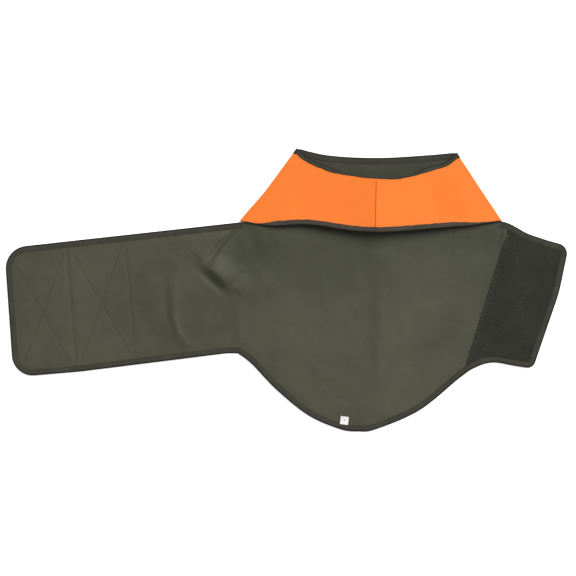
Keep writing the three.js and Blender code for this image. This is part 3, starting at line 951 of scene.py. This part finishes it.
def chest_wave(x, y):
    """How the chest's cloth rises and falls: a little along its hem, and none at the shoulders."""
    r = np.hypot(x - APEX[0], y - APEX[1])
    ang = np.degrees(np.arctan2(x - APEX[0], -(y - APEX[1]))) - SPINE_ANGLE
    near = np.minimum(1, 3 * np.clip(1 - np.abs(ang) / 33.5, 0, 1))
    hem_share = np.clip((r - 240) / 90, 0, 1) ** 1.5
    full = 3.5 * np.exp(-(((ang + 21) / 8) ** 2)) + 1.3 * np.sin(ang * 0.42 + 0.6)
    return near * (full * hem_share + 0.25 * waves(x, y, 90, 41))


SEAM_ACROSS = np.array([math.cos(math.radians(SPINE_ANGLE)), math.sin(math.radians(SPINE_ANGLE))])
SEAM_GAP = 0.02


def place_chest(fold_deg, sgn):
    """Lifts a half of the chest off the flat about its shoulder fold, and shuts it against the other half."""
    R = np.array(Matrix.Rotation(-sgn * FOLD_LIFT, 3, Vector((*(-heading(fold_deg)), 0))))
    _, inward = side((APEX, -heading(fold_deg + sgn * CHEST_ANGLE)), -sgn)
    hinge = np.array([*APEX, Z_FOLD])

    def place(v):
        edge = (v[:, :2] - APEX) @ inward < 0.25
        q = (v - hinge) @ R.T + hinge
        past = (q[:, :2] - APEX) @ SEAM_ACROSS * sgn
        shut = edge | (past > -SEAM_GAP)
        q[:, :2] += np.where(shut, -SEAM_GAP - past, 0)[:, None] * (SEAM_ACROSS * sgn)[None, :]
        q[:, 2] += chest_wave(q[:, 0], q[:, 1]) - 0.25 * shut
        return q

    return place


# The width of the chest's tapes as a share, from the shoulder (0) to the seam (1), for the left half (1) and
# the right (-1): the hem's curls under at the shoulder, and the neck's at the seam.
TAPER = {
    ("hem", 1): lambda t: 0.12 + 0.7 * ease((t - 0.07) / 0.18),
    ("hem", -1): lambda t: 0.14 + 0.68 * ease(t / 0.42),
    ("neck", 1): lambda t: 0.12 + 0.6 * ease((0.74 - t) / 0.34),
    ("neck", -1): lambda t: 0.12 + 0.6 * ease((0.7 - t) / 0.34),
}
HALVES = [
    # which, its fold's heading, its sign, the fold's length, and how much further the fold bulges low down
    ("left", LEFT_FOLD, 1, LEFT_RADIUS, 4.6),
    ("right", RIGHT_FOLD, -1, RIGHT_RADIUS, 0.6),
]
CHEST_LINING_Z = SHELL_Z + RISE
CHEST_PAD_Z = CHEST_LINING_Z + LINING_T + 0.3
CHEST_SHELL_Z = CHEST_LINING_Z + LINING_T + PAD_T + 0.6
HEM_TAIL, NECK_TAIL = 40, 25  # how far from a fold's ends its cloth begins to slant to the hem and the neck
THROAT = 262  # the chest neck's distance from the apex, nearly, where the seam meets it


def end_slants(fold_deg, sgn):
    """How far along the fold the hem's and the neck's edges run, for each millimetre in from it."""
    down, inward = heading(fold_deg), side((APEX, -heading(fold_deg)), sgn)[1]
    if sgn > 0:
        ways = chest_hem[3] - chest_hem[0], back_neck[-8] - back_neck[-1]
    else:
        ways = chest_hem[-4] - chest_hem[-1], back_neck[7] - back_neck[0]
    return [-(w @ down) / (w @ inward) for w in map(unit, ways)]


def shoulder_strip(name, half, zlow, zhigh, t, reach, u0, u1, material, steps=22):
    """A strip of cloth round a shoulder fold, from the sheet's layer at zlow to the chest's at zhigh."""
    which, fold_deg, sgn, far, flare = half
    n = side((APEX, -heading(fold_deg)), sgn)[1]
    place, slants = place_chest(fold_deg, sgn), end_slants(fold_deg, sgn)
    us = np.linspace(u0, u1, max(2, int(abs(u1 - u0) / 3) + 1))
    thetas = np.linspace(-math.pi / 2, math.pi / 2, steps)
    verts, uvs = [], []
    for u in us:
        foot = APEX + heading(fold_deg) * u + n * WRAP
        low3 = np.array([*foot, zlow + float(lift(foot[:1], foot[1:])[0])])
        high3 = place(np.array([[*foot, zhigh]]))[0]
        out = reach + flare * ease((u - far + 80) / 80) ** 1.4
        at_hem, at_neck = ease((u - far + HEM_TAIL) / HEM_TAIL), ease((NECK_RADIUS + NECK_TAIL - u) / 24)
        for face in (1, -1):
            for th in thetas:
                share = (math.sin(th) + 1) / 2
                centre = low3 + (high3 - low3) * share
                bulge = math.cos(th) * (out + face * t / 2)
                slide = -(slants[0] * at_hem + slants[1] * at_neck * (1 - share)) * (WRAP - bulge)
                x, y = centre[:2] - n * bulge + heading(fold_deg) * slide
                verts.append((x, y, centre[2] + face * t / 2 * math.sin(th)))
                uvs.append((u, face * 20 + th * 6))
    m = 2 * steps
    faces = []
    for i in range(len(us) - 1):
        loop = list(range(steps)) + list(range(2 * steps - 1, steps - 1, -1))
        for a, b in zip(loop, loop[1:] + loop[:1]):
            q = (i * m + a, i * m + b, (i + 1) * m + b, (i + 1) * m + a)
            faces.append(q if sgn > 0 else q[::-1])
    for i in (0, len(us) - 1):
        for k in range(steps - 1):
            q = (i * m + k, i * m + k + 1, i * m + steps + k + 1, i * m + steps + k)
            faces.append(q if (i == 0) == (sgn < 0) else q[::-1])
    obj = make(name, verts, faces, material, uvs, sharp=60)
    start, end = (*(APEX * MM), (Z_FOLD - 0.85) * MM), (*(APEX * MM), (Z_FOLD + 1.0) * MM)
    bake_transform(obj)
    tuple(start)
    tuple(end)
    return obj


in_chest = np.concatenate([moved(chest_hem, INSET), moved(chest_neck, INSET)])
for half in HALVES:
    which, fold_deg, sgn, far, _ = half
    body = f"chest_{which}"
    shoulder, seam = (APEX, -heading(fold_deg)), (APEX, -heading(fold_deg + sgn * CHEST_ANGLE))
    from_fold, from_seam = side(shoulder, sgn, WRAP), side(seam, -sgn, 0.05)
    place = place_chest(fold_deg, sgn)
    cloth_poly = clip_polygon(list(in_chest), [from_fold, from_seam])
    pad_in = clip_polygon(list(in_chest), [from_fold, side(seam, -sgn, 1.6)])
    flat, area = flat_size(cloth_poly, -heading(fold_deg + sgn * 17))
    for kind, z, t, mat, slot, step in (
        ("lining", CHEST_LINING_Z, LINING_T, OLIVE, "olive_lining", 6.0),
        ("padding", CHEST_PAD_Z, PAD_T, FOAM, "padding", 9.0),
        ("shell", CHEST_SHELL_Z, SHELL_T, ORANGE, "orange_shell", 3.5),
    ):
        poly = pad_in if kind == "padding" else cloth_poly
        obj = layer(f"{body}_{kind}_cloth", poly, flat_at(z), t, mat, step, place)
        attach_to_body(obj, body)
        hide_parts(f"{body}_{kind}")
    # The shell turns in along the seam, and covers the padding's edge there.
    turn_in = clip_polygon(list(in_chest), [from_fold, from_seam, side(seam, sgn, -0.7)])
    low_in = flat_at(CHEST_LINING_Z + LINING_T + 0.04)
    edge_in = layer(f"{body}_seam_turning", turn_in, low_in, PAD_T + 0.5, ORANGE, 3.5, place)
    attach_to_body(edge_in, body)
    rows = Threads()
    for edge_name, edge in (("hem", chest_hem), ("neck", chest_neck)):
        from_shoulder = (edge_name == "hem") == (sgn > 0)
        for k, part in enumerate(clip_line(edge, [from_fold, side(seam, -sgn, -4)])):
            part = spaced(part, 2.0)
            wide = lambda u, f=TAPER[edge_name, sgn], on=from_shoulder: f(u if on else 1 - u)
            section = tape_profile(TAPE_Z0 + RISE, TAPE_Z1 + RISE)
            tape = sweep(
                f"{body}_{edge_name}_binding", part, section, flat_at(0.0),
                CHEST_TAPE if edge_name == "hem" else TAPE, place, pucker=0.2, seed=51 + k, widths=wide,
            )
            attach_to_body(tape, body)
            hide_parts(f"{body}_{edge_name}_tape")
            widths = TAPE_W * np.array([wide(u) for u in np.linspace(0, 1, len(part))])
            row = part + sideways(part) * (widths - 1.4)[:, None]
            row = row[(widths > 3.2) & ((row - APEX) @ from_seam[1] > 1.5)]
            if len(row) > 3:
                rows.add(row, flat_at(STITCH_Z1 + RISE), 1)
                rows.add(row, flat_at(STITCH_Z0 + RISE), -1)
    thread = rows.make(f"{body}_binding_stitches", THREAD, place)
    if which == "left":
        sewn = Threads()
        near = float(np.min(np.linalg.norm(chest_neck - APEX - heading(SPINE_ANGLE) * THROAT, axis=1)))
        line = [APEX - seam[1] * r + from_seam[1] * 0.5 for r in (THROAT - near + 5, HEM_RADIUS - 4)]
        top = CHEST_SHELL_Z + SHELL_T + 0.02
        sewn.add(np.array(line), flat_at(top), 1, pitch=3.0, size=(3.0, 0.8, 0.2))
        seam_line = sewn.make("chest_seam_stitches", SEAM_THREAD, place)
        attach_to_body(seam_line, body)
    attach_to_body(thread, body)
    # Where the sheet turns over at the shoulder: its layers, and the bindings at the two ends of the fold.
    start = NECK_RADIUS + INSET + 3
    sheet_layers = [
        ("shell", SHELL_Z, CHEST_SHELL_Z, SHELL_T, WRAP - 0.45, start, far - 0.3, ORANGE, "orange_shell"),
        ("padding", PAD_Z, CHEST_PAD_Z, PAD_T, WRAP - 1.85, NECK_RADIUS + 9, far - 6, FOAM, "padding"),
        ("lining", LINING_Z, CHEST_LINING_Z, LINING_T, 1.5, start, far - 1.6, OLIVE, "olive_lining"),
    ]
    for kind, zl, zh, t, reach, u0, u1, mat, slot in sheet_layers:
        name, mid = f"{which}_shoulder_{kind}", t / 2
        shoulder_strip(name, half, zl + mid, zh + mid, t, reach, u0, u1, mat)
    tape_ends = [("neck", NECK_RADIUS + 0.5, NECK_RADIUS + TAPE_W), ("hem", far - 1.0, far + 0.1)]
    for end_name, u0, u1 in tape_ends:
        for kind, zl, zh, reach in (
            ("outer", TAPE_Z0 + 0.25, TAPE_Z1 + RISE - 0.25, WRAP - 0.05),
            ("inner", TAPE_Z1 - 0.25, TAPE_Z0 + RISE + 0.25, 1.0),
        ):
            name = f"{which}_shoulder_{end_name}_tape_{kind}"
            shoulder_strip(name, half, zl, zh, TAPE_T, reach, u0, u1, SHADED_WRAP_TAPE)

# ---------------------------------------------------------------- label

LABEL_SIZE, LABEL_T, LABEL_ANGLE = 13, 0.25, -7.24
LABEL_Z = TAPE_Z1 + 0.35
CURL, ARCH = 0.5, 0.25  # how far the label's free end curls up, and its middle arches
low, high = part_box("size_label")
centre = np.array([(low.x + high.x) / 2, (low.y + high.y) / 2]) * 1000
ang = math.radians(LABEL_ANGLE)
ux, uy = np.array([math.cos(ang), math.sin(ang)]), np.array([-math.sin(ang), math.cos(ang)])
n = 14
verts, uv = [], []
for face in (1, 0):
    for i in range(n):
        for k in range(n):
            out = i / (n - 1)
            a, b = (k / (n - 1) - 0.5) * LABEL_SIZE, (out - 0.5) * LABEL_SIZE
            p = centre + ux * a + uy * b
            curl = CURL * out**2 + ARCH * math.cos(a / LABEL_SIZE * math.pi) * out
            z = LABEL_Z + float(lift(p[None, 0], p[None, 1])[0]) + curl + LABEL_T * face
            verts.append((*p, z))
            uv.append((a, b))
faces = []
for i in range(n - 1):
    for k in range(n - 1):
        a = i * n + k
        faces.append((a, a + 1, a + n + 1, a + n))
        faces.append(tuple(q + n * n for q in (a + n, a + n + 1, a + 1, a)))
ring = [*range(n), *(i * n + n - 1 for i in range(1, n))]
ring += [*((n - 1) * n + k for k in range(n - 2, -1, -1)), *(i * n for i in range(n - 2, 0, -1))]
for a, b in zip(ring, ring[1:] + ring[:1]):
    faces.append((b, a, a + n * n, b + n * n))
label = make("size_label_cloth", verts, faces, LABEL, uv, sharp=50)
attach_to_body(label, "size_label")
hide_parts("size_label")
rows = Threads()
for a, b in (((-1.2, 1.5), (1.3, 1.5)), ((0.0, -1.0), (0.1, 1.4))):
    line = np.array([centre + ux * q[0] + uy * q[1] for q in (a, b)])
    rows.add(line, lifted(LABEL_Z + 0.55), 1, pitch=1.3, size=(1.6, 0.9, 0.12))
mark = rows.make("size_label_mark", MARK)
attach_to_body(mark, "size_label")

# ---------------------------------------------------------------- floor, light and camera

floor_mat = bpy.data.materials.new("pale_floor")
floor_mat.use_nodes = True
shader = floor_mat.node_tree.nodes["Principled BSDF"]
floor_look = {
    "Base Color": (0.97, 0.97, 0.97, 1), "Roughness": 0.9, "Specular IOR Level": 0.1,
    "Emission Color": (1, 1, 1, 1), "Emission Strength": 0.5,
}
for key, value in floor_look.items():
    shader.inputs[key].default_value = value
FLOOR_HALF, FLOOR_Z = 6.0, -0.0004
floor_corners = [(a * FLOOR_HALF, b * FLOOR_HALF, FLOOR_Z) for a, b in ((-1, -1), (1, -1), (1, 1), (-1, 1))]
mesh = bpy.data.meshes.new("floor")
mesh.from_pydata(floor_corners, [], [(0, 1, 2, 3)])
mesh.materials.append(floor_mat)
floor = bpy.data.objects.new("floor", mesh)
bpy.context.scene.collection.objects.link(floor)

world = bpy.data.worlds.new("studio")
bpy.context.scene.world = world
world.use_nodes = True
world.node_tree.nodes["Background"].inputs["Color"].default_value = (1, 1, 1, 1)
world.node_tree.nodes["Background"].inputs["Strength"].default_value = SKY

sun_data = bpy.data.lights.new("key", "SUN")
sun_data.angle = math.radians(42)
toward = unit(np.array([0.40, 0.50, 0.90]))
sun_data.energy = (GLOW - SKY) * math.pi / toward[2]
sun = bpy.data.objects.new("key", sun_data)
bpy.context.scene.collection.objects.link(sun)
sun.rotation_mode = "QUATERNION"
sun.rotation_quaternion = Vector(toward).to_track_quat("Z", "Y")

CAM_HEIGHT, SENSOR = 2.6, 36  # metres, millimetres
VIEW_WIDTH = 0.92736  # metres of the table across the picture
AIM = 0.002415 + SHIFT * MM  # the point under the camera
cam_data = bpy.data.cameras.new("camera")
cam = bpy.data.objects.new("camera", cam_data)
bpy.context.scene.collection.objects.link(cam)
cam_data.sensor_width = SENSOR
cam_data.lens = SENSOR * CAM_HEIGHT / VIEW_WIDTH
cam_data.clip_start, cam_data.clip_end = 0.05, 50
cam.location = (*AIM, CAM_HEIGHT)
bpy.context.scene.camera = cam
bpy.context.scene.view_settings.view_transform = "Standard"
